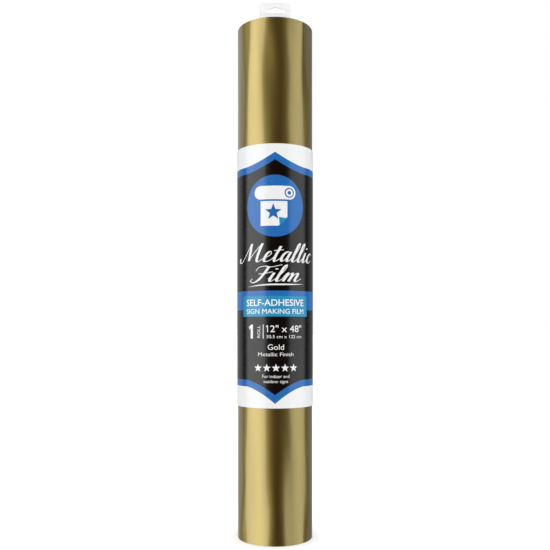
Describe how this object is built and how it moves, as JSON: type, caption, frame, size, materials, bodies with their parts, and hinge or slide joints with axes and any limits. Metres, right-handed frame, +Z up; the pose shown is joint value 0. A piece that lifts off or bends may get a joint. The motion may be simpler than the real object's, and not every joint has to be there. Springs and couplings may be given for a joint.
{
  "type": "roll of sign vinyl",
  "caption": "Slim upright roll of gold adhesive vinyl film on a board core, with a printed paper band around its middle and a translucent hang tab in its top end.",
  "frame": {"origin": "centre of the roll's lower end, on the surface that the roll stands on", "axes": "+Z up along the roll's axis, -Y towards the front of the label and hang tab, +X to the right"},
  "size_m": [0.0457, 0.0458, 0.3224],
  "materials": {
    "gold_vinyl": "metallic gloss",
    "liner_paper": "silicone-coated, semi-gloss",
    "core_board": "uncoated kraft",
    "label_paper": "coated, printed",
    "clear_tape": "frosted clear",
    "adhesive_tape": "double-sided tissue tape",
    "translucent_plastic": "moulded, translucent"
  },
  "bodies": {
    "roll": {"core_tube": "core_board", "start_tape": "adhesive_tape", "release_liner": "liner_paper", "vinyl_film": "gold_vinyl", "tail_tape_top": "clear_tape", "tail_tape_bottom": "clear_tape"},
    "label": {"label_band": "label_paper", "label_seam_tape": "adhesive_tape"},
    "hanger": {"hanger_plug": "translucent_plastic"}
  },
  "joints": [
    {"name": "label_slide", "type": "slide", "parent": "roll", "child": "label", "axis": [0, 0, 1], "range_m": [-0.079, 0.245]},
    {"name": "plug_pull", "type": "slide", "parent": "roll", "child": "hanger", "axis": [0, 0, 1], "range_m": [0, 0.03]}
  ]
}
